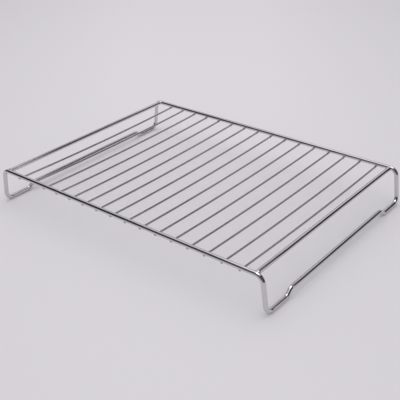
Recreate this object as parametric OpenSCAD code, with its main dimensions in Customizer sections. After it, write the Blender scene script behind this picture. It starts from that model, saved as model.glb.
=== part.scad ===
// Grill rack of welded wire, in millimetres.
// The origin is on the floor under the middle of the rack. +X runs along the two long rails,
// +Y runs along the cross wires and +Z is up.
//
// One thick wire is bent into a closed loop. It makes the two rails, the four legs and, at each
// end, a bottom bar whose middle stretch is stepped up off the floor, so that the rack stands on
// four short feet. Two end bars of the same wire are butted between the rails just inside the
// legs. The row of thin cross wires is welded to the undersides of the rails, and each of them
// dips a little between the rails.

/* [Overall size] */
// Distance between the axes of the two end bars
bar_span = 350; // [330:1:450]
// Distance between the axes of the two long rails
rail_spacing = 268; // [200:1:340]
// Height of the rail axes above the axes of the feet
leg_drop = 40; // [36:0.5:90]

/* [Wire] */
// Diameter of the frame wire and of the end bars
frame_d = 5; // [4:0.1:6.5]
// Diameter of the cross wires
cross_d = 2.5; // [1.6:0.1:4]

/* [Legs] */
// Distance along a rail from the end bar to the point where the axes of rail and leg cross
leg_reach = 7.5; // [6:0.5:20]
// Outward lean of the legs in degrees
leg_splay = 7; // [0:0.5:12]
// Centre line radius of the bends at the top and the foot of each leg
leg_bend_r = 9; // [6:0.5:12]

/* [Bottom bars] */
// Length of each foot along the floor, from the axis of the leg to the corner of the step
foot_length = 34; // [24:0.5:60]
// Length along the bar between the two corners of the step
step_run = 8.5; // [7:0.5:20]
// Height of the raised middle stretch above the feet
step_rise = 5.5; // [3:0.5:9]
// Centre line radius of the two bends of each step
step_bend_r = 7; // [5:0.5:9]

/* [Cross wires] */
// Number of cross wires
wire_count = 16; // [8:1:16]
// Distance between the axes of neighbouring cross wires
wire_pitch = 20.85; // [12:0.05:21]
// Distance from the middle of the rack to the middle of the row, towards the right end
wire_offset = 0.9; // [-2.4:0.1:2.4]
// Distance that each end of a cross wire reaches past the axis of its rail
wire_overhang = 1; // [0:0.1:2]
// Depth by which the middle of each cross wire hangs below its ends
wire_dip = 2; // [0.5:0.1:4]
// Length of straight wire inside each rail's axis, before the dip begins
wire_end_run = 6; // [4:0.5:12]

/* [Bends and welds] */
// Amount by which the wire draws thinner where it is bent
bend_thinning = 0.04; // [0.02:0.01:0.1]
// Depth to which a cross wire is pressed onto the underside of a rail
cross_weld_depth = 0.4; // [0.2:0.05:0.8]
// Depth to which an end bar is pressed onto the inner side of a rail
bar_weld_depth = 0.5; // [0.2:0.05:0.8]

/* [Hidden] */
wire_fn = 48;
$fn = wire_fn;

// Fineness of the very wide arc of a dipping cross wire, as sides of its whole circle
dip_fn = 1440;

function wire_name(i) = str("cross_wire_", i < 10 ? "0" : "", i);

chrome = [0.68, 0.68, 0.70];

rail_y = rail_spacing / 2;
rail_z = frame_d / 2 + leg_drop;
rail_underside = rail_z - frame_d / 2;

// The drawn-down wire of a bend runs this far into the straight wire at both its ends
bend_lap = 0.05;

// The same for the wide arc of a cross wire, which meets its straight ends at a slight angle
dip_lap = 0.2;

// Unit vector along v
function unit(v) = v / norm(v);

// The corners of one hoop, from the rail at -Y down, along the floor and up to the rail at +Y,
// for the end side of -1 or 1. They all lie in one plane, which leans outward.
function hoop_corners(side) =
    let (
        down = [side * sin(leg_splay), 0, -cos(leg_splay)],
        leg = down * leg_drop / cos(leg_splay),
        top = [side * (bar_span / 2 + leg_reach), rail_y, rail_z],
        half = [
            top,
            top + leg,
            top + leg - [0, foot_length, 0],
            top + leg - [0, foot_length + step_run, 0] - down * step_rise
        ]
    )
    concat([for (p = half) [p[0], -p[1], p[2]]], [for (i = [3 : -1 : 0]) half[i]]);

hoop_radii = [
    leg_bend_r, leg_bend_r, step_bend_r, step_bend_r,
    step_bend_r, step_bend_r, leg_bend_r, leg_bend_r
];

// The whole loop: the hoop at +X, then the hoop at -X the other way round
loop_corners = concat(hoop_corners(1), [for (i = [7 : -1 : 0]) hoop_corners(-1)[i]]);
loop_radii = concat(hoop_radii, hoop_radii);

// Angle through which the wire turns at corner p on its way from a to b
function turn_angle(a, p, b) = acos(unit(p - a) * unit(b - p));

// Length of each side of corner p that its bend takes up
function setback(a, p, b, r) = r * tan(turn_angle(a, p, b) / 2);

// A straight round wire from a to b
module straight_wire(a, b, d) {
    run = b - a;
    translate(a)
        rotate([0, acos(run[2] / norm(run)), atan2(run[1], run[0])])
            cylinder(d = d, h = norm(run));
}

// A bend of radius r round corner p: part of a torus whose frame is the outward radius at the
// start of the bend, the way the wire runs there, and the axis that it turns about
module wire_bend(a, p, b, r, d) {
    forward = unit(p - a);
    axis = unit(cross(p - a, b - p));
    outward = cross(forward, axis);
    centre = p - forward * setback(a, p, b, r) - outward * r;
    lap_angle = bend_lap / r * 180 / PI;
    multmatrix([
        [outward[0], forward[0], axis[0], centre[0]],
        [outward[1], forward[1], axis[1], centre[1]],
        [outward[2], forward[2], axis[2], centre[2]],
        [0, 0, 0, 1]
    ])
        rotate_extrude(start = -lap_angle, angle = turn_angle(a, p, b) + 2 * lap_angle)
            translate([r, 0]) circle(d = d - bend_thinning);
}

// One wire bent round the corners of a closed loop
module bent_loop(corners, radii, d) {
    n = len(corners);
    for (i = [0 : n - 1]) {
        before = corners[(i + n - 1) % n];
        here = corners[i];
        next = corners[(i + 1) % n];
        after = corners[(i + 2) % n];
        ahead = unit(next - here);
        wire_bend(before, here, next, radii[i], d);
        straight_wire(
            here + ahead * setback(before, here, next, radii[i]),
            next - ahead * setback(here, next, after, radii[(i + 1) % n]),
            d
        );
    }
}

// Two rails, four legs and two stepped bottom bars, all of one wire
module frame_wire() {
    color(chrome) bent_loop(loop_corners, loop_radii, frame_d);
}

// An end bar, cut square and pressed onto the inner sides of the rails
module end_bar(side) {
    x = side * bar_span / 2;
    reach = rail_y - frame_d / 2 + bar_weld_depth;
    color(chrome) difference() {
        straight_wire([x, -reach, rail_z], [x, reach, rail_z], frame_d);
        frame_wire();
    }
}

// A wire along Y at height z that dips in the middle: two straight ends and a wide arc between them
module dipping_wire(x, z, dip, reach, d) {
    half = rail_y - wire_end_run;
    r = (half * half + dip * dip) / (2 * dip);
    half_turn = asin((half + dip_lap) / r);
    for (side = [-1, 1])
        straight_wire([x, side * half, z], [x, side * reach, z], d);
    translate([x, 0, z - dip + r])
        rotate([0, 90, 0])
            rotate_extrude(start = -half_turn, angle = 2 * half_turn, $fn = dip_fn)
                translate([r, 0]) circle(d = d - bend_thinning, $fn = wire_fn);
}

// A cross wire, with a shallow saddle where it is pressed onto each rail
module cross_wire(i) {
    x = wire_offset + (i - (wire_count + 1) / 2) * wire_pitch;
    z = rail_underside + cross_weld_depth - cross_d / 2;
    color(chrome) difference() {
        dipping_wire(x, z, wire_dip, rail_y + wire_overhang, cross_d);
        for (y = [-rail_y, rail_y])
            straight_wire([-bar_span / 2, y, rail_z], [bar_span / 2, y, rail_z], frame_d);
    }
}

frame_wire();
end_bar(-1);  // end_bar_left
end_bar(1);  // end_bar_right
for (i = [1 : wire_count])
    cross_wire(i);
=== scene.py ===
# %% [markdown]
# A chromed grill rack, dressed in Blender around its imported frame.
# The rack is made of bright round wire and nothing else: one thick wire bent into a closed loop,
# two thick end bars butted between its rails, and sixteen thin cross wires welded underneath.
# So this lesson has three subjects. The first is how a tube follows a bent path. The second is how
# welds fill the corners between round wires. The third is chrome, which has hardly any colour of
# its own: it shows the studio around it, so the studio is built as carefully as the wire.

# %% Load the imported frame
import math

import bpy
import numpy as np
from mathutils import Matrix, Vector


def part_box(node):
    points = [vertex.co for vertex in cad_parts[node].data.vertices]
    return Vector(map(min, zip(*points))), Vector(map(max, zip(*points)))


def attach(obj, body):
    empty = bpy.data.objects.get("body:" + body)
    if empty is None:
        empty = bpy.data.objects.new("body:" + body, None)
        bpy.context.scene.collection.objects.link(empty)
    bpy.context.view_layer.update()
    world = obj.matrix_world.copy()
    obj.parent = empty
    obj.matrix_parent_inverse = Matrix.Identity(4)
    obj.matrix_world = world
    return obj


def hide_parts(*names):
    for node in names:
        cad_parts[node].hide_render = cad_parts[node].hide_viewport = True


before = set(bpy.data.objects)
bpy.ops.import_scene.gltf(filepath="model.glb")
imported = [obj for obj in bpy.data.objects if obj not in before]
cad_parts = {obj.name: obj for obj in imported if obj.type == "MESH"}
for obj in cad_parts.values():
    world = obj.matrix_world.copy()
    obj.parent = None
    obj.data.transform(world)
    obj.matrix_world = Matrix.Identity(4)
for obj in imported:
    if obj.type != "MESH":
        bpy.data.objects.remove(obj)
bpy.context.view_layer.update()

# %% [markdown]
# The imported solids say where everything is, so the sizes come from their boxes. Only what a box
# can't tell, such as the radius of a bend, is written here as a real size. The wires are drawn to
# a tenth of a millimetre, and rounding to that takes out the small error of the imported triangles.
# The places of the cross wires are finer than that, so they are the middles of the boxes as packed.

# %% Read the sizes from the frame
MM = 0.001


def node_box(name):
    """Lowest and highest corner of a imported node, as arrays in metres, to a tenth of a millimetre."""
    low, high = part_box(name)
    return np.round(np.array(low), 4), np.round(np.array(high), 4)


frame_low, frame_high = node_box("frame_wire")
bar_low, bar_high = node_box("end_bar_right")
thick_d = bar_high[2] - bar_low[2]
thick_r = thick_d / 2
rail_y = frame_high[1] - thick_r
rail_z = (bar_low[2] + bar_high[2]) / 2
bar_x = (bar_low[0] + bar_high[0]) / 2
foot_z = frame_low[2] + thick_r
cross_names = sorted(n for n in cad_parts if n.startswith("cross_wire"))
cross_low, cross_high = node_box(cross_names[0])
thin_d = cross_high[0] - cross_low[0]
thin_r = thin_d / 2
thin_reach = cross_high[1]
thin_z = cross_high[2] - thin_r
thin_dip = thin_z - thin_r - cross_low[2]
cross_x = np.array([np.mean(np.array(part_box(n))[:, 0]) for n in cross_names])

leg_reach = 7.5 * MM
leg_splay = math.radians(7)
leg_bend_r = 9 * MM
foot_length = 34 * MM
step_run = 8.5 * MM
step_rise = 5.5 * MM
step_bend_r = 7 * MM
thin_end_run = 6 * MM
print("thick wire", round(thick_d, 4), "thin wire", round(thin_d, 4), "dip", round(thin_dip, 4))
print("rails at y", round(rail_y, 4), "and z", round(rail_z, 4), "end bars at x", round(bar_x, 4))
print(len(cross_x), "cross wires from x", round(cross_x[0], 4), "to", round(cross_x[-1], 4))

# %% [markdown]
# The camera stands where the photographer's did. Its angles, place and lens were found by fitting
# the straight rails, bars and wires of the rack to the picture. The picture is 400 pixels square,
# so a lens given in pixels becomes a lens in millimetres through the 36 mm sensor.

# %% Set up the camera
PICTURE = 400
SENSOR = 36.0
camera_azimuth = math.radians(39.384)
camera_elevation = math.radians(28.756)
camera_roll = math.radians(-1.410)
camera_place = Vector((0.49695, -0.60330, 0.43131))
lens_in_pixels = 755.10

back = Vector((
    math.sin(camera_azimuth) * math.cos(camera_elevation),
    -math.cos(camera_azimuth) * math.cos(camera_elevation),
    math.sin(camera_elevation),
))
level_right = Vector((math.cos(camera_azimuth), math.sin(camera_azimuth), 0))
level_up = back.cross(level_right)
right = level_right * math.cos(camera_roll) + level_up * math.sin(camera_roll)
up = back.cross(right)
camera_turn = Matrix((right, up, back)).transposed()

camera_data = bpy.data.cameras.new("camera")
camera_data.sensor_width = SENSOR
camera_data.lens = lens_in_pixels * SENSOR / PICTURE
camera_data.clip_start = 0.01
camera_data.clip_end = 100
camera = bpy.data.objects.new("camera", camera_data)
bpy.context.scene.collection.objects.link(camera)
camera.matrix_world = Matrix.Translation(camera_place) @ camera_turn.to_4x4()
bpy.context.scene.camera = camera


def pixel_of(point):
    """Where a point falls in the picture: its sideways and upward distance from the lens axis,
    divided by its distance along that axis, times the lens in pixels, from the middle."""
    seen = camera_turn.transposed() @ (Vector(point) - camera_place)
    scale = lens_in_pixels / -seen.z
    return PICTURE / 2 + seen.x * scale, PICTURE / 2 - seen.y * scale


for corner in ((-1, -1), (1, -1), (1, 1), (-1, 1)):
    spot = pixel_of((corner[0] * bar_x, corner[1] * rail_y, rail_z))
    print("end bar and rail cross at pixel", [round(v, 1) for v in spot])

# %% [markdown]
# Every new piece is a surface worked out as whole numpy arrays, on a grid of rings. A ring is one
# turn round the wire, and the rings follow each other along it. This helper turns such a grid into
# a Blender mesh. Its UV map holds the way round the wire and the way along it in metres, so that a
# finish can follow the wire. Two numbers at each point say how near a weld is and how near a bend.

# %% Surfaces from grids of rings


def ring_squares(rings, sides, closed):
    """Corner numbers of the squares between neighbouring rings, with the last ring joined to the
    first where the surface is closed lengthwise. They turn so that the normals point outwards."""
    last = rings if closed else rings - 1
    ring, side = np.meshgrid(np.arange(last), np.arange(sides), indexing="ij")
    after, beside = (ring + 1) % rings, (side + 1) % sides
    corners = [ring * sides + side, ring * sides + beside, after * sides + beside, after * sides + side]
    return np.stack(corners, axis=-1).reshape(-1, 4)


def end_fans(rings, sides):
    """Corner numbers of the triangles that close the first and the last ring, each round a pole."""
    side = np.arange(sides)
    beside = (side + 1) % sides
    pole, top = rings * sides, (rings - 1) * sides
    first = np.stack([beside, side, np.full(sides, pole)], axis=1)
    second = np.stack([top + side, top + beside, np.full(sides, pole + 1)], axis=1)
    return np.vstack([first, second])


def ring_surface(points, along, closed=False, weld=0.0, bent=0.0):
    """The arrays of one surface. points is rings x sides x 3, along is the way along for each ring,
    and weld and bent are numbers for each ring or point. Open ends are closed round a pole."""
    rings, sides = points.shape[:2]
    squares = ring_squares(rings, sides, closed)
    round_way = (squares % sides) / sides
    round_way[:, 1:3] += (squares[:, 1:2] % sides == 0)
    along = np.asarray(along, float)
    along_way = along[squares // sides]
    if closed:
        whole = along[-1] + (along[1] - along[0])
        along_way[:, 2:4] = np.where(squares[:, 2:4] // sides == 0, whole, along_way[:, 2:4])
    surface = {
        "points": points.reshape(-1, 3),
        "squares": squares,
        "square_uv": np.stack([round_way, along_way], axis=-1).reshape(-1, 2),
        "fans": np.zeros((0, 3), int),
        "fan_uv": np.zeros((0, 2)),
    }
    marks = [np.broadcast_to(m, (rings, sides)).reshape(-1) for m in (weld, bent)]
    if not closed:
        poles = [points[0].mean(axis=0), points[-1].mean(axis=0)]
        surface["points"] = np.vstack([surface["points"], poles])
        surface["fans"] = end_fans(rings, sides)
        share, step = np.arange(sides) / sides, 1 / sides
        first = np.stack([share + step, share, share + step / 2], axis=1)
        second = np.stack([share, share + step, share + step / 2], axis=1)
        ends = np.vstack([np.full((sides, 3), along[0]), np.full((sides, 3), along[-1])])
        surface["fan_uv"] = np.stack([np.vstack([first, second]), ends], axis=-1).reshape(-1, 2)
        marks = [np.append(m, [m[0], m[-sides]]) for m in marks]
    surface["weld"], surface["bent"] = marks
    return surface


def make_piece(name, surfaces, stands_for):
    """Makes one smooth shaded Blender object of several surfaces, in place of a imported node. The
    corner numbers of each surface are moved along by the number of points before it."""
    counts = [len(s["points"]) for s in surfaces]
    starts = np.cumsum([0] + counts[:-1])

    def gathered(key, shift=0):
        return np.concatenate([s[key] + shift * start for s, start in zip(surfaces, starts)])

    squares, fans = gathered("squares", 1), gathered("fans", 1)
    mesh = bpy.data.meshes.new(name)
    mesh.from_pydata(gathered("points"), [], squares.tolist() + fans.tolist())
    uv = np.concatenate([gathered("square_uv"), gathered("fan_uv")])
    mesh.uv_layers.new(name="wire").data.foreach_set("uv", uv.astype(np.float32).ravel())
    for mark in ("weld", "bent"):
        values = gathered(mark).astype(np.float32)
        mesh.attributes.new(mark, "FLOAT", "POINT").data.foreach_set("value", values)
    mesh.polygons.foreach_set("use_smooth", np.ones(len(squares) + len(fans), bool))
    mesh.update()
    piece = bpy.data.objects.new(name, mesh)
    bpy.context.scene.collection.objects.link(piece)
    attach(piece, "root")
    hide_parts(stands_for)
    print(name, sum(counts), "points,", 2 * len(squares) + len(fans), "triangles")
    return piece


print("3 rings of 4 points:", len(ring_squares(3, 4, False)), "squares,", len(end_fans(3, 4)), "triangles")

# %% [markdown]
# The loop is made the way a wire bender makes it: feed a length, bend, feed, bend. Each move starts
# from a place and three directions, forward, out and aside. A feed goes straight along forward. A
# bend turns the place and the directions about an axis that stands one bend radius to the side.
# Because every bend turns about the wire's own directions, the section never twists, and after the
# last move it meets the first ring again.

# %% Feed and bend

RING_STEP = 1.2 * MM
BEND_STEP = 0.6 * MM


def feed(start, length):
    """Straight wire: the place plus forward times the distance fed. The directions stay."""
    place, ways = start
    count = max(2, int(round(length / RING_STEP)))
    s = np.linspace(0, length, count, endpoint=False)
    places = place + s[:, None] * ways[0]
    end = (place + length * ways[0], ways)
    return end, places, np.broadcast_to(ways, (count, 3, 3)), np.zeros(count)


def bend(start, axis, radius, angle):
    """Bent wire: with the axis a and the forward way f, the place moves by
    radius * (sin t * f + (1 - cos t) * a x f) and each way w turns to
    cos t * w + sin t * a x w, plus its own share along the axis."""
    place, ways = start
    count = max(2, int(round(radius * angle / BEND_STEP)))

    def turned(t):
        c, s = np.cos(t)[:, None, None], np.sin(t)[:, None, None]
        along = (ways @ axis)[None, :, None] * axis
        return c * (ways - along) + s * np.cross(axis, ways) + along

    def moved(t):
        side = np.cross(axis, ways[0])
        return place + radius * (np.sin(t)[:, None] * ways[0] + (1 - np.cos(t))[:, None] * side)

    t = np.linspace(0, angle, count, endpoint=False)
    last = np.array([angle])
    end = (moved(last)[0], turned(last)[0])
    return end, moved(t), turned(t), np.ones(count)


def setback(radius, angle):
    """Length that a bend takes up on each side of the corner it rounds."""
    return radius * math.tan(angle / 2)


print("a square bend in a leg takes up", round(setback(leg_bend_r, math.pi / 2), 4), "m on each side")

# %% [markdown]
# One round of the loop is half a rail, the hoop at the right end, the far rail, the hoop at the
# left end and half a rail. Both hoops take the same moves. The top bend turns down about the
# sideways axis, and all the others lie in the plane of the hoop, which leans out with the legs.

# %% The centre line of the frame wire

top_turn = math.pi / 2 - leg_splay
step_turn = math.atan2(step_rise, step_run)
leg_length = (rail_z - foot_z) / math.cos(leg_splay)
half_rail = bar_x + leg_reach - setback(leg_bend_r, top_turn)
leg_straight = leg_length - setback(leg_bend_r, top_turn) - setback(leg_bend_r, math.pi / 2)
foot_straight = foot_length - setback(leg_bend_r, math.pi / 2) - setback(step_bend_r, step_turn)
slope_straight = math.hypot(step_run, step_rise) - 2 * setback(step_bend_r, step_turn)
raised_straight = 2 * (rail_y - foot_length - step_run - setback(step_bend_r, step_turn))
OUT, ASIDE = 1, 2
half_hoop = [
    ("feed", leg_straight),
    ("bend", OUT, leg_bend_r, math.pi / 2),
    ("feed", foot_straight),
    ("bend", OUT, step_bend_r, step_turn),
    ("feed", slope_straight),
    ("bend", -OUT, step_bend_r, step_turn),
]
hoop = (
    [("bend", -ASIDE, leg_bend_r, top_turn)]
    + half_hoop
    + [("feed", raised_straight)]
    + half_hoop[::-1]
    + [("bend", -ASIDE, leg_bend_r, top_turn)]
)
moves = [("feed", half_rail)] + hoop + [("feed", 2 * half_rail)] + hoop + [("feed", half_rail)]


def run_moves(start, moves):
    """Carries out the moves one after the other. Gives places, ways, bend marks and distances."""
    places, ways, bent = [], [], []
    state = start
    for move in moves:
        if move[0] == "feed":
            state, p, w, b = feed(state, move[1])
        else:
            sign = 1 if move[1] > 0 else -1
            state, p, w, b = bend(state, sign * state[1][abs(move[1])], move[2], move[3])
        places.append(p)
        ways.append(w)
        bent.append(b)
    places = np.vstack(places)
    gap = np.linalg.norm(np.roll(places, -1, axis=0) - places, axis=1)
    along = np.concatenate([[0], np.cumsum(gap)[:-1]])
    print("loop length", round(float(gap.sum()), 4), "m, closes to", np.linalg.norm(state[0] - start[0]))
    return places, np.vstack(ways), np.concatenate(bent), along


start = (np.array([0.0, -rail_y, rail_z]), np.array([[1.0, 0, 0], [0, 0, 1.0], [0, -1.0, 0]]))
loop_places, loop_ways, loop_bent, loop_along = run_moves(start, moves)

# %% [markdown]
# A tube is a ring at each place of the path. Where the wire was bent it drew out a little thinner,
# and the change runs in over a few millimetres. The rails were red hot for a moment wherever
# another wire was welded to them, underneath at the cross wires and on the inner side at the end
# bars. So each point also gets a number for that heat, and the finish is uneven where it is high.

# %% The frame wire

THICK_SIDES = 48
bend_thinning = 0.02 * MM
bend_run_in = 5
cross_weld_heat = 2.6 * MM
bar_weld_heat = 1.6 * cross_weld_heat


def tube(places, ways, radius, sides):
    """Rings of points: place + radius * (cos u * second way + sin u * third way)."""
    u = np.arange(sides) / sides * 2 * math.pi
    radius = np.broadcast_to(radius, (len(places), sides))
    spokes = np.cos(u)[None, :, None] * ways[:, None, 1] + np.sin(u)[None, :, None] * ways[:, None, 2]
    return places[:, None, :] + radius[:, :, None] * spokes


def smooth_run(values, rings):
    """A closed row of numbers, each replaced by the mean of those up to so many rings away."""
    kernel = np.ones(2 * rings + 1) / (2 * rings + 1)
    return np.convolve(np.concatenate([values[-rings:], values, values[:rings]]), kernel, mode="valid")


def glow(distance, reach):
    """How hot the wire was at a distance from a weld: e to the minus (distance / reach) squared."""
    return np.exp(-((distance / reach) ** 2))


loop_turn = np.arange(THICK_SIDES) / THICK_SIDES * 2 * math.pi
on_rail = np.abs(loop_places[:, 2] - rail_z) < 0.1 * MM
cross_gap = np.min(np.abs(loop_places[:, 0:1] - cross_x[None, :]), axis=1)
bar_gap = np.abs(np.abs(loop_places[:, 0]) - bar_x)
cross_heat = (on_rail * glow(cross_gap, cross_weld_heat))[:, None] * np.clip(-np.cos(loop_turn), 0, 1)
bar_heat = (on_rail * glow(bar_gap, bar_weld_heat))[:, None] * np.clip(-np.sin(loop_turn), 0, 1)
bend_share = smooth_run(loop_bent, bend_run_in)[:, None]
frame_points = tube(loop_places, loop_ways, thick_r - bend_thinning * bend_share, THICK_SIDES)
frame_surface = ring_surface(
    frame_points, loop_along, closed=True, weld=np.maximum(cross_heat, bar_heat), bent=bend_share
)
frame_piece = make_piece("chromed_frame_wire", [frame_surface], "frame_wire")

# %% [markdown]
# A cross wire is thin enough to hang a little between the rails, so its middle follows a shallow
# curve. Its ends were sheared off: the edge is rolled over and the cut leans a few degrees, each
# one its own way. Under each rail the lower electrode of the welding machine pressed a small flat
# into it. All of these are changes to one tube, made with arrays over the whole wire at once.

# %% A wire along Y

THIN_SIDES = 32
WIRE_STEP = 1.0 * MM
CAP_RINGS = 7
edge_rolling = 0.45 * MM
electrode_half = 3.0 * MM
electrode_depth = 0.14 * MM
squeeze_width = 0.42 * MM
squeeze_place = 3.4 * MM
squeeze_reach = 1.5 * MM
LEAST_COSINE = 0.2


def wire_along_y(x, z, reach, radius, sides, rolling, spots, heat_reach, dip=0.0, dip_half=1.0,
                 press=0.0, squeeze=0.0, lean=(0.0, 0.0), lean_turn=(0.0, 0.0)):
    """A wire along Y from -reach to reach. It hangs by dip * (1 - (y / dip_half)^2) where |y| is
    under dip_half. Over the last stretch its radius follows a quarter circle. Near each spot the
    underside is cut off flat at radius - press, and just inside it the wire is wider by
    squeeze * sin(u)^2. Each end leans: a point goes in by lean * (1 + cos(u - lean_turn)) / 2, more
    and more towards the tip."""
    curve = np.linspace(0, math.pi / 2, CAP_RINGS)
    cap_y = reach - rolling + rolling * np.sin(curve)
    cap_r = radius - rolling + rolling * np.cos(curve)
    body = np.linspace(-reach + rolling, reach - rolling, max(3, int(2 * reach / WIRE_STEP)))
    y = np.concatenate([-cap_y[::-1], body[1:-1], cap_y])
    r = np.concatenate([cap_r[::-1], np.full(len(body) - 2, radius), cap_r])[:, None]
    u = np.arange(sides) / sides * 2 * math.pi
    spot_gap = np.min(np.abs(y[:, None] - np.array(spots)), axis=1)
    flat = press * np.clip(1.5 * (1 - spot_gap / electrode_half), 0, 1)[:, None]
    r = np.minimum(r, (radius - flat) / np.maximum(-np.cos(u), LEAST_COSINE))
    inner_gap = np.abs(np.abs(y) - np.max(spots) + squeeze_place)
    r = r + squeeze * glow(inner_gap, squeeze_reach)[:, None] * np.sin(u) ** 2
    sag = -dip * np.clip(1 - (y / dip_half) ** 2, 0, None)
    slope = np.arctan(np.gradient(sag, y))
    c, s, o = np.cos(slope), np.sin(slope), np.zeros(len(y))
    ways = np.stack([np.stack([o, c, s], 1), np.stack([o, -s, c], 1), np.stack([o + 1, o, o], 1)], 1)
    points = tube(np.stack([o + x, y, z + sag], axis=1), ways, r, sides)
    for side, amount, turn in zip((-1, 1), lean, lean_turn):
        tip = 1.5 * rolling
        share = np.clip((side * y - reach + tip) / tip, 0, 1)[:, None]
        points[:, :, 1] -= side * amount * share * (1 + np.cos(u - turn)) / 2
    return ring_surface(points, y + reach, weld=glow(spot_gap, heat_reach)[:, None])


print("a cross wire is", round(2 * thin_reach, 4), "m long and gets a ring every", WIRE_STEP, "m")

# %% [markdown]
# Under each rail a cross wire was pressed into it while both were red hot, and the squeezed-out
# metal filled the corner between the two round wires. That fillet is the shape a weld shows. In
# every upright plane through the weld it runs from the rail's curve down to the wire's curve, as
# a quadratic curve whose middle control point is just outside the spot where the two curves meet.

# %% The cross wires and their welds

WELD_SIDES = 48
CURVE_RINGS = 9
CURVE_STEP = 0.2 * MM
fillet_size = 0.70 * MM
fillet_hollow = 0.12 * MM
fillet_sunk = 0.04 * MM
root_sunk = 0.25 * MM
root_share = 0.3
wire_edge_share = 0.97
search_reach = 2.4 * MM
cross_heat_reach = 3.4 * MM


def uneven(a, rng, waves):
    """How large a weld is at the angles a round it: 1 plus, for each wave of a size and a count,
    size * sin(count * a + a random phase)."""
    swell = 1
    for size, count in waves:
        swell = swell + size * np.sin(count * a + rng.uniform(0, 6))
    return swell


def crossing_weld(x, y, rng):
    """The fillet where a thin wire along Y lies under a thick one along X, as rings that climb from
    inside the thin wire to inside the thick one. In the plane at angle a the thick wire's lower edge
    is rail_z - sqrt(thick_r^2 - (p sin a)^2) at distance p, and the thin wire's upper edge is
    thin_z + sqrt(thin_r^2 - (p cos a)^2). They meet at p0, found from a fine row of distances."""
    a = np.arange(WELD_SIDES) / WELD_SIDES * 2 * math.pi
    ca, sa = np.abs(np.cos(a)), np.abs(np.sin(a))

    def rail_edge(p):
        return rail_z - np.sqrt(np.clip(thick_r**2 - (p * sa) ** 2, 0, None))

    def wire_edge(p):
        return thin_z + np.sqrt(np.clip(thin_r**2 - (p * ca) ** 2, 0, None))

    p = np.linspace(0, search_reach, 481)[:, None]
    p0 = p[np.argmax(rail_edge(p) >= wire_edge(p), axis=0), 0]
    swell = uneven(a, rng, ((0.16, 2), (0.09, 5)))
    foot = np.minimum(p0 + fillet_size * swell, wire_edge_share * thin_r / np.maximum(ca, 1e-3))
    head = np.minimum(p0 + fillet_size * swell, wire_edge_share * thick_r / np.maximum(sa, 1e-3))
    middle = p0 + fillet_hollow
    t = np.linspace(0, 1, CURVE_RINGS)[:, None]
    near, between, far = (1 - t) ** 2, 2 * t * (1 - t), t**2
    out = near * foot + between * middle + far * head
    low_end, high_end = wire_edge(foot) - fillet_sunk, rail_edge(head) + fillet_sunk
    high = near * low_end + between * wire_edge(p0) + far * high_end
    out = np.vstack([root_share * foot, out, root_share * head])
    high = np.vstack([low_end - root_sunk, high, high_end + root_sunk])
    points = np.stack([x + out * np.cos(a), y + out * np.sin(a), high], axis=-1)
    return ring_surface(points, np.arange(len(out)) * CURVE_STEP, weld=1.0)


rng = np.random.default_rng(7)
cross_pieces = []
for name, x in zip(cross_names, cross_x):
    wire = wire_along_y(
        x, thin_z, thin_reach, thin_r, THIN_SIDES, edge_rolling, (-rail_y, rail_y), cross_heat_reach,
        dip=thin_dip, dip_half=rail_y - thin_end_run, press=electrode_depth,
        squeeze=squeeze_width * rng.uniform(0.5, 1.4),
        lean=rng.uniform(0.05, 0.3, 2) * MM, lean_turn=rng.uniform(0, 6, 2),
    )
    welds = [crossing_weld(x, side * rail_y, rng) for side in (-1, 1)]
    cross_pieces.append(make_piece("chromed_" + name, [wire] + welds, name))

# %% [markdown]
# An end bar is butted against the inner sides of the rails. A square end against a round rail
# leaves a wedge above and below, which the weld half fills. So the bead is a collar: it starts on
# the bar, swells into a low ridge of squeezed-out metal, dips and runs out on the rail. On top the
# ridge is cut down to the height of the rails, so that a dish still stands level. The bar itself
# stops just inside the skin of the rail.

# %% The end bars and their butt welds

COLLAR_RINGS = 21
COLLAR_STEP = 0.3 * MM
bead_size = 1.0 * MM
bead_spread = 0.85
ridge_height = 0.5 * MM
ridge_end = 0.65
rail_edge_share = 0.975
foot_sunk, head_sunk = 0.02 * MM, 0.05 * MM
foot_root, head_root = 0.2 * MM, 0.4 * MM
foot_shift, middle_shift = 0.35 * MM, 0.7 * MM
flank_bulge, wedge_hollow = 0.30 * MM, 0.95 * MM
bar_stop = 1.9 * MM
bar_rolling = 0.3 * MM
bar_heat_reach = 4 * MM


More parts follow.
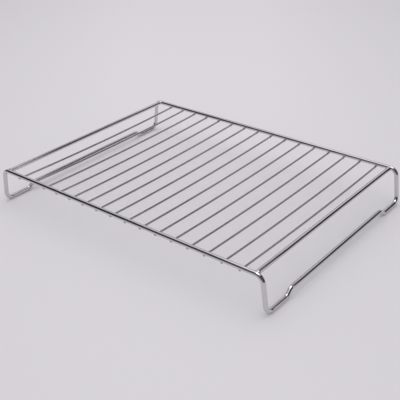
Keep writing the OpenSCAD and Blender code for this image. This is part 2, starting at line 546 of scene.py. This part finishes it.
def butt_weld(x, side, rng):
    """The collar round the end of an end bar, as rings about the bar's axis. At the angle a from
    the top, the rail's surface stands rail_y - sqrt(thick_r^2 - (p cos a)^2) from the middle of
    the rack at distance p from the axis of the bar. From the bar's skin to the rail's the collar is
    a quadratic curve, and over its first part half a sine wave adds the ridge. At the flanks, where
    sin(a)^2 is 1, the curve bulges, and over the wedges, where cos(a)^2 is 1, it is hollow."""
    a = np.arange(THICK_SIDES) / THICK_SIDES * 2 * math.pi
    ca, sa = np.cos(a), np.sin(a)
    flank, wedge = sa**2, ca**2
    swell = uneven(a, rng, ((0.15, 2), (0.10, 3)))
    size = bead_size * swell
    rail_limit = rail_edge_share * thick_r / np.maximum(np.abs(ca), 1e-3)
    head = np.minimum(thick_r + bead_spread * size, rail_limit)
    head_y = rail_y - np.sqrt(np.clip(thick_r**2 - (head * ca) ** 2, 0, None)) + head_sunk
    face = rail_y - thick_r
    foot_y = face + foot_shift * wedge - size
    middle = thick_r + flank_bulge * flank - wedge_hollow * wedge
    middle_y = face + middle_shift * wedge
    t = np.linspace(0, 1, COLLAR_RINGS)[:, None]
    near, between, far = (1 - t) ** 2, 2 * t * (1 - t), t**2
    out = near * (thick_r - foot_sunk) + between * middle + far * head
    ridge = ridge_height * swell**3 * np.sin(math.pi * np.clip(t / ridge_end, 0, 1))
    out = np.minimum(out + ridge, np.maximum(out, thick_r / np.maximum(np.abs(ca), 0.1)))
    along = near * foot_y + between * middle_y + far * head_y
    out = np.vstack([root_share * thick_r * np.ones_like(a), out, root_share * head])
    along = np.vstack([foot_y - foot_root, along, head_y + head_root])
    points = np.stack([x + out * sa * side, side * along, rail_z + out * ca], axis=-1)
    return ring_surface(points, np.arange(len(out)) * COLLAR_STEP, weld=1.0)


bar_pieces = []
bar_reach = rail_y - bar_stop
for name, x in (("end_bar_left", -bar_x), ("end_bar_right", bar_x)):
    bar = wire_along_y(
        x, rail_z, bar_reach, thick_r, THICK_SIDES, bar_rolling, (-bar_reach, bar_reach), bar_heat_reach
    )
    welds = [butt_weld(x, side, rng) for side in (-1, 1)]
    bar_pieces.append(make_piece("chromed_" + name, [bar] + welds, name))

# %% [markdown]
# Bright chrome is a thin skin over nickel over drawn steel wire, and each layer leaves a trace.
# The drawing die leaves fine lines along the wire, the plating bath leaves a faint waviness and a
# slight haze, and handling leaves hair scratches. The rack is plated after it is welded, so the
# welds shine too, only unevenly. Each trace is a node group, because the thick and the thin wire
# share them with other values. A group gives only masks and heights. The Principled shader stays
# in the material.

# %% Helpers for node groups


def new_group(name, takes, gives):
    """An empty node group. takes lists its number inputs with their usual values, and gives lists
    its outputs. Returns the group and its input and output nodes."""
    group = bpy.data.node_groups.new(name, "ShaderNodeTree")
    for label, value in takes:
        socket = group.interface.new_socket(label, in_out="INPUT", socket_type="NodeSocketFloat")
        socket.default_value = value
    for label in gives:
        group.interface.new_socket(label, in_out="OUTPUT", socket_type="NodeSocketFloat")
    return group, group.nodes.new("NodeGroupInput"), group.nodes.new("NodeGroupOutput")


def put(tree, kind, sources=(), **settings):
    """Adds a node, sets its properties and gives its inputs. A source is an input's name or number
    with either a value or the output that feeds it."""
    node = tree.nodes.new(kind)
    for key, value in settings.items():
        setattr(node, key, value)
    for key, value in sources:
        if isinstance(value, bpy.types.NodeSocket):
            tree.links.new(value, node.inputs[key])
        else:
            node.inputs[key].default_value = value
    return node


def sum_of(tree, a, b):
    """The output of a node that adds two sources."""
    return put(tree, "ShaderNodeMath", [(0, a), (1, b)], operation="ADD").outputs[0]


def times(tree, a, b):
    """The output of a node that multiplies two sources."""
    return put(tree, "ShaderNodeMath", [(0, a), (1, b)], operation="MULTIPLY").outputs[0]


def ramp_up(tree, source, low, high):
    """The output of a node that goes from 0 to 1 while its source goes from low to high."""
    pairs = [("Value", source), ("From Min", low), ("From Max", high)]
    return put(tree, "ShaderNodeMapRange", pairs, clamp=True).outputs[0]


print("helpers for node groups: new_group, put, sum_of, times and ramp_up")

# %% [markdown]
# The drawn lines must run along the wire round every bend, so they read the UV map. The way round
# the wire is turned into a cosine and a sine, which join up where the map starts again.

# %% Fine lines from the drawing die

drawn_lines, lines_in, lines_out = new_group(
    "drawn_lines", [("Lines round", 17.0), ("Lines per metre", 50.0)], ["Height"]
)
wire_map = put(drawn_lines, "ShaderNodeUVMap", uv_map="wire")
way = put(drawn_lines, "ShaderNodeSeparateXYZ", [(0, wire_map.outputs[0])])
turn = times(drawn_lines, way.outputs[0], 2 * math.pi)
cosine = put(drawn_lines, "ShaderNodeMath", [(0, turn)], operation="COSINE").outputs[0]
sine = put(drawn_lines, "ShaderNodeMath", [(0, turn)], operation="SINE").outputs[0]
spread = put(drawn_lines, "ShaderNodeCombineXYZ", [
    (0, times(drawn_lines, cosine, lines_in.outputs[0])),
    (1, times(drawn_lines, sine, lines_in.outputs[0])),
    (2, times(drawn_lines, way.outputs[1], lines_in.outputs[1])),
])
line_noise = put(drawn_lines, "ShaderNodeTexNoise", [
    ("Vector", spread.outputs[0]), ("Scale", 1.0), ("Detail", 2.0), ("Roughness", 0.6),
])
drawn_lines.links.new(line_noise.outputs[0], lines_out.inputs["Height"])
print(drawn_lines.name, len(drawn_lines.nodes), "nodes")

# %% [markdown]
# The plating bath never lays down metal quite evenly. A low, wide noise gives the surface its slow
# waves, which make the edges of reflections wander, and a finer one gives patches of haze.

# %% Waviness and haze from the plating bath

plating, plating_in, plating_out = new_group(
    "plating_bath", [("Waves per metre", 320.0), ("Clouds per metre", 45.0)], ["Height", "Haze"]
)
place = put(plating, "ShaderNodeTexCoord").outputs["Object"]
waves = put(plating, "ShaderNodeTexNoise", [
    ("Vector", place), ("Scale", plating_in.outputs[0]), ("Detail", 1.0), ("Roughness", 0.5),
])
clouds = put(plating, "ShaderNodeTexNoise", [
    ("Vector", place), ("Scale", plating_in.outputs[1]), ("Detail", 4.0), ("Roughness", 0.65),
])
plating.links.new(waves.outputs[0], plating_out.inputs["Height"])
plating.links.new(ramp_up(plating, clouds.outputs[0], 0.35, 0.75), plating_out.inputs["Haze"])
print(plating.name, len(plating.nodes), "nodes")

# %% [markdown]
# A hair scratch is long, thin and rare. Noise that is stretched one way crosses its own middle
# value along long thin lines, so the places where it is very near 0.5 make the scratches.

# %% Hair scratches from handling

scratches, scratches_in, scratches_out = new_group("hair_scratches", [("Per metre", 260.0)], ["Scratch"])
place = put(scratches, "ShaderNodeTexCoord").outputs["Object"]
tilted = put(scratches, "ShaderNodeMapping", [
    ("Vector", place), ("Rotation", (0.6, 0.5, 0.9)), ("Scale", (1.0, 0.12, 1.0)),
]).outputs[0]
hairs = put(scratches, "ShaderNodeTexNoise", [
    ("Vector", tilted), ("Scale", scratches_in.outputs[0]), ("Detail", 3.0), ("Roughness", 0.7),
]).outputs[0]
off_middle = put(scratches, "ShaderNodeMath", [(0, sum_of(scratches, hairs, -0.5))], operation="ABSOLUTE")
scratches.links.new(ramp_up(scratches, off_middle.outputs[0], 0.012, 0.0), scratches_out.inputs["Scratch"])
print(scratches.name, len(scratches.nodes), "nodes")

# %% [markdown]
# The weld group reads the number that the shape functions left at each point. Its edge is broken up
# with noise, because the heat never stopped along a clean line.

# %% Uneven skin at the welds

weld_skin, weld_in, weld_out = new_group("weld_skin", [("Ripples per metre", 1500.0)], ["Mask", "Height"])
heat = put(weld_skin, "ShaderNodeAttribute", attribute_name="weld").outputs["Fac"]
place = put(weld_skin, "ShaderNodeTexCoord").outputs["Object"]
ripples = put(weld_skin, "ShaderNodeTexNoise", [
    ("Vector", place), ("Scale", weld_in.outputs[0]), ("Detail", 3.0), ("Roughness", 0.6),
]).outputs[0]
broken = sum_of(weld_skin, heat, times(weld_skin, sum_of(weld_skin, ripples, -0.5), 0.5))
mask = ramp_up(weld_skin, broken, 0.25, 0.8)
weld_skin.links.new(mask, weld_out.inputs["Mask"])
weld_skin.links.new(times(weld_skin, ripples, mask), weld_out.inputs["Height"])
print(weld_skin.name, len(weld_skin.nodes), "nodes")

# %% [markdown]
# Where the wire was bent, the bending pin rubbed along it. The chrome is a shade duller there, in
# streaks, and only at the bends, which the shape functions marked with their own number.

# %% Rub marks of the bending pin

rub_marks, rub_in, rub_out = new_group("rub_marks", [("Streaks per metre", 700.0)], ["Rub"])
bent = put(rub_marks, "ShaderNodeAttribute", attribute_name="bent").outputs["Fac"]
place = put(rub_marks, "ShaderNodeTexCoord").outputs["Object"]
streaks = put(rub_marks, "ShaderNodeTexNoise", [
    ("Vector", place), ("Scale", rub_in.outputs[0]), ("Detail", 2.0), ("Roughness", 0.55),
]).outputs[0]
rubbed = times(rub_marks, bent, ramp_up(rub_marks, streaks, 0.45, 0.70))
rub_marks.links.new(rubbed, rub_out.inputs["Rub"])
print(rub_marks.name, len(rub_marks.nodes), "nodes")

# %% [markdown]
# Now the traces come together. In the picture the wires shine a little less than polished chrome,
# and the thin ones less than the thick one, so the two finishes have different colours. Each effect
# adds a little roughness or a little height, so none of them stands out by itself.

# %% The chrome

HAZE_DULL, SCRATCH_DULL, RUB_DULL = 0.05, 0.06, 0.05
LINE_HEIGHT, RIPPLE_HEIGHT = 0.15, 8.0
BUMP_STRENGTH, BUMP_DISTANCE = 0.35, 0.02 * MM


def chrome_material(name, colour, weld_colour, polish, weld_roughness, lines_round):
    """Bright chrome: colour goes over to the weld's, roughness rises with haze, scratches, rub marks
    and welds, and the heights of the lines, waves and ripples add up under one Bump."""
    material = bpy.data.materials.new(name)
    material.use_nodes = True
    tree = material.node_tree
    shader = tree.nodes["Principled BSDF"]
    shader.inputs["Metallic"].default_value = 1.0
    lines = put(tree, "ShaderNodeGroup", node_tree=drawn_lines)
    lines.inputs["Lines round"].default_value = lines_round
    bath = put(tree, "ShaderNodeGroup", node_tree=plating)
    hair = put(tree, "ShaderNodeGroup", node_tree=scratches)
    rub = put(tree, "ShaderNodeGroup", node_tree=rub_marks)
    weld = put(tree, "ShaderNodeGroup", node_tree=weld_skin)
    tone = put(tree, "ShaderNodeMix", data_type="RGBA")
    tree.links.new(weld.outputs["Mask"], tone.inputs["Factor"])
    tone.inputs["A"].default_value = (*colour, 1)
    tone.inputs["B"].default_value = (*weld_colour, 1)
    tree.links.new(tone.outputs["Result"], shader.inputs["Base Color"])
    dull = sum_of(tree, times(tree, bath.outputs["Haze"], HAZE_DULL), polish)
    dull = sum_of(tree, times(tree, hair.outputs["Scratch"], SCRATCH_DULL), dull)
    dull = sum_of(tree, times(tree, rub.outputs["Rub"], RUB_DULL), dull)
    dull = sum_of(tree, times(tree, weld.outputs["Mask"], weld_roughness), dull)
    tree.links.new(dull, shader.inputs["Roughness"])
    height = sum_of(tree, times(tree, lines.outputs["Height"], LINE_HEIGHT), bath.outputs["Height"])
    height = sum_of(tree, times(tree, weld.outputs["Height"], RIPPLE_HEIGHT), height)
    bump = put(tree, "ShaderNodeBump", [
        ("Height", height), ("Strength", BUMP_STRENGTH), ("Distance", BUMP_DISTANCE),
    ])
    tree.links.new(bump.outputs[0], shader.inputs["Normal"])
    print(name, len(tree.nodes), "nodes")
    return material


thick_chrome = chrome_material(
    "bright_chrome_thick", colour=(0.65, 0.65, 0.66), weld_colour=(0.66, 0.65, 0.64),
    polish=0.04, weld_roughness=0.05, lines_round=17.0,
)
thin_chrome = chrome_material(
    "bright_chrome_thin", colour=(0.56, 0.555, 0.56), weld_colour=(0.58, 0.57, 0.57),
    polish=0.05, weld_roughness=0.06, lines_round=8.5,
)
frame_piece.data.materials.append(thick_chrome)
for piece in bar_pieces:
    piece.data.materials.append(thick_chrome)
for piece in cross_pieces:
    piece.data.materials.append(thin_chrome)

# %% [markdown]
# Chrome looks like chrome only between light and dark, so the studio has both. The rack stands on
# pale paper under a soft pale sky, and dark cards stand round it. The paper's colour holds a painted
# pool of light, palest behind the rack, with painted shade a little darker round it, as in the picture.
# Far away it goes as pale as the sky, so that hardly a line shows where they meet. Its colour comes
# from two distances on the paper itself.

# %% The paper floor


def plain_material(name, colour):
    """A matt surface of one colour."""
    material = bpy.data.materials.new(name)
    material.use_nodes = True
    shader = material.node_tree.nodes["Principled BSDF"]
    shader.inputs["Base Color"].default_value = (*colour, 1)
    shader.inputs["Roughness"].default_value = 0.8
    shader.inputs["Specular IOR Level"].default_value = 0.2
    return material


def stage_mesh(name, points, faces, material):
    """A piece of the studio, which isn't part of the rack."""
    mesh = bpy.data.meshes.new(name)
    mesh.from_pydata(points, [], faces)
    mesh.materials.append(material)
    thing = bpy.data.objects.new(name, mesh)
    bpy.context.scene.collection.objects.link(thing)
    return thing


FLOOR_HALF = 6.0
# The pale spot behind the rack is a painted pool of light, and the darker tone round it is painted shade.
PAINTED_LIGHT_AWAY, PAINTED_LIGHT_SHAPE = 0.6, (0.45, 1.8, 1.0)
paper_painted_light = (0.855, 0.855, 0.865, 1)
paper_painted_shade = (0.74, 0.74, 0.755, 1)
paper_far = (0.95, 0.95, 0.95, 1)
floor_corners = [(sx * FLOOR_HALF, sy * FLOOR_HALF, 0) for sx, sy in ((-1, -1), (1, -1), (1, 1), (-1, 1))]
floor_paper = plain_material("floor_paper", (0.8, 0.8, 0.8))
stage_mesh("floor", floor_corners, [(0, 1, 2, 3)], floor_paper)
paper_tree = floor_paper.node_tree
paper_place = put(paper_tree, "ShaderNodeTexCoord").outputs["Object"]
behind_rack = PAINTED_LIGHT_AWAY * Vector((-math.sin(camera_azimuth), math.cos(camera_azimuth), 0))
painted_light_spot = put(paper_tree, "ShaderNodeMapping", [
    ("Vector", paper_place), ("Location", behind_rack),
    ("Rotation", (0, 0, camera_azimuth)), ("Scale", PAINTED_LIGHT_SHAPE),
], vector_type="TEXTURE").outputs[0]
paper_colour = paper_painted_light
# First the painted pool of light fades into the painted shade round it, then the paper fades to the sky's
# paleness far away.
tones = ((painted_light_spot, 0.3, 1.2, paper_painted_shade), (paper_place, 1.5, 4.5, paper_far))
for place, low, high, next_colour in tones:
    away = put(paper_tree, "ShaderNodeVectorMath", [(0, place)], operation="LENGTH").outputs["Value"]
    share = ramp_up(paper_tree, away, low, high)
    pairs = [("Factor", share), ("A", paper_colour), ("B", next_colour)]
    paper_colour = put(paper_tree, "ShaderNodeMix", pairs, data_type="RGBA").outputs["Result"]
paper_tree.links.new(paper_colour, paper_tree.nodes["Principled BSDF"].inputs["Base Color"])
print("paper", 2 * FLOOR_HALF, "m square,", len(paper_tree.nodes), "nodes")

# %% [markdown]
# Each straight wire reflects a thin ring of directions. So the dark cards draw the black line down
# its middle, and the floor and the sky draw the pale lines beside it. White slits in front of the
# right hand card make the near ends of the end bars pale, and the grey cards at the back keep the
# upper flanks of the wires from going white. The cards are seen only in reflections, so they take
# no light from the floor. Like the greys of the picture, theirs aren't quite neutral.

# %% The cards

CARD_DISTANCE = 1.3
SLIT_DISTANCE = 1.2
CARD_PANELS = 32
CARD_TINT = np.array([1.06, 0.97, 1.03])


def side_card(name, first, last, low, high, grey, distance=CARD_DISTANCE):
    """Makes a card bent round the rack. first and last are its ends in degrees, counted from the
    picture's right hand side towards the back, and low and high are the angles above the floor at
    which its lower and upper edges are seen from the middle of the rack. The card is part of an
    upright round wall: each edge is a row of points at the distance times the cosine and the sine
    of those degrees, at a height of the distance times the tangent of the angle."""
    turn = np.radians(np.linspace(first, last, CARD_PANELS + 1))
    sideways = np.array(level_right)
    away = np.array([-math.sin(camera_azimuth), math.cos(camera_azimuth), 0])
    ring = distance * (np.cos(turn)[:, None] * sideways + np.sin(turn)[:, None] * away)
    heights = [distance * math.tan(math.radians(angle)) for angle in (low, high)]
    points = np.vstack([ring + [0, 0, height] for height in heights])
    n = CARD_PANELS + 1
    faces = [(i, i + 1, n + i + 1, n + i) for i in range(CARD_PANELS)]
    paint = plain_material(name, tuple((grey * CARD_TINT).tolist()))
    card = stage_mesh(name, points.tolist(), faces, paint)
    card.visible_camera = False
    card.visible_diffuse = False
    card.visible_shadow = False
    print(name, "from", first, "to", last, "and", low, "to", high, "degrees")


# Name, first and last end, low and high edge, grey
side_card("card_right", -70, 22, 0, 58, 0.05)
side_card("card_right_back", 22, 38, 0, 41, 0.08)
side_card("card_right_upper", 22, 44, 43, 58, 0.45)
side_card("slit_low", -12, -3.3, 4, 38, 1.0, distance=SLIT_DISTANCE)
side_card("slit_high", -3.3, 4, 32, 40, 1.0, distance=SLIT_DISTANCE)
side_card("card_back", 46, 80, 47, 57, 0.25)
side_card("card_gap", 94, 105, 41, 53, 0.05)
side_card("wall_back", 62, 128, 0, 21, 0.40)
side_card("card_left", 147, 190, 0, 62, 0.015)
side_card("card_left_front", 190, 207, 0, 60, 0.05)
side_card("card_front", 207, 290, 0, 55, 0.18)

# %% [markdown]
# The sky gives most of the light, and one wide panel overhead gives the soft shadow on the paper
# right under the low bars. A small bright lamp is seen only in reflections. Seen from the camera no
# straight wire catches it, but most bends do somewhere, and so the corners get their white sparks.
# All the light is a shade of violet, because the greys in the picture are.

# %% The sky and the lamps

LIGHT_TINT = (1.0, 0.966, 1.008)
SKY_STRENGTH = 0.74
world = bpy.data.worlds.new("studio_sky")
world.use_nodes = True
sky = world.node_tree.nodes["Background"]
sky.inputs["Color"].default_value = (*LIGHT_TINT, 1)
sky.inputs["Strength"].default_value = SKY_STRENGTH
bpy.context.scene.world = world


def square_lamp(name, place, size, radiance):
    """A square lamp that faces the middle of the rack. Its power in watts is pi times its area
    times the brightness that it should show."""
    data = bpy.data.lights.new(name, "AREA")
    data.shape = "SQUARE"
    data.size = size
    data.energy = math.pi * size**2 * radiance
    data.color = LIGHT_TINT
    lamp = bpy.data.objects.new(name, data)
    bpy.context.scene.collection.objects.link(lamp)
    lamp.location = place
    lamp.rotation_euler = (-lamp.location).to_track_quat("-Z", "Y").to_euler()
    print(name, round(data.energy, 2), "W")
    return lamp


square_lamp("overhead_panel", place=(-0.25, 0.05, 1.7), size=1.7, radiance=0.40)
spark_lamp = square_lamp("spark_lamp", place=(0.08, 0.02, 1.5), size=0.66, radiance=4.0)
spark_lamp.visible_diffuse = False

bpy.context.scene.view_settings.view_transform = "Standard"
